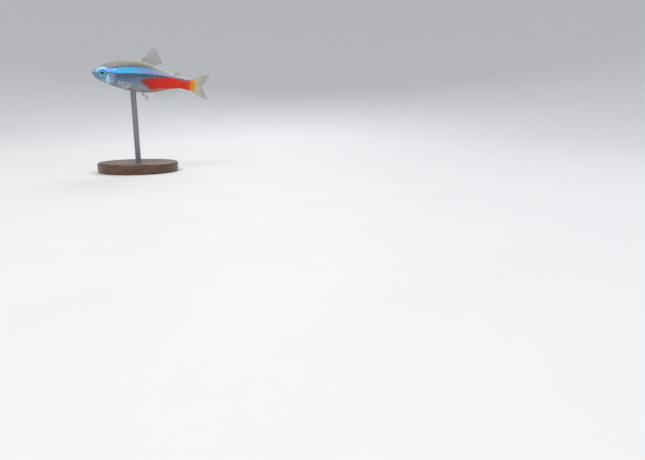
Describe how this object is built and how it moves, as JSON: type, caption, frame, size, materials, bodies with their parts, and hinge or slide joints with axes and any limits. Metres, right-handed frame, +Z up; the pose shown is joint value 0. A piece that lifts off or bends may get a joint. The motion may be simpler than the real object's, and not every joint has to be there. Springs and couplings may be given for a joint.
{
  "type": "neon tetra model",
  "caption": "Life-size still model of a swimming neon tetra, its fins spread and tail curved aside, held over a round base by one rod.",
  "frame": {"origin": "centre of the stand base's underside, on the surface that the model stands on", "axes": "+Z up; +X from the fish's head towards its tail; +Y to the fish's right, so its left flank faces -Y"},
  "size_m": [0.036, 0.024, 0.0374],
  "materials": {
    "fish_skin": "iridescent satin with a neon blue stripe and a red rear band",
    "eye": "wet gloss",
    "fin_membrane": "clear, faintly milky",
    "base_wood": "oiled satin",
    "rod_steel": "brushed"
  },
  "bodies": {
    "root": {"head": "fish_skin", "gill_cover_left": "fish_skin", "gill_cover_right": "fish_skin", "trunk": "fish_skin", "tail": "fish_skin", "eye_left": "eye", "eye_right": "eye", "dorsal_fin": "fin_membrane", "adipose_fin": "fin_membrane", "anal_fin": "fin_membrane", "caudal_fin_upper_lobe": "fin_membrane", "caudal_fin_lower_lobe": "fin_membrane", "pectoral_fin_left": "fin_membrane", "pectoral_fin_right": "fin_membrane", "pelvic_fin_left": "fin_membrane", "pelvic_fin_right": "fin_membrane", "stand_base": "base_wood", "stand_rod": "rod_steel"}
  },
  "joints": []
}
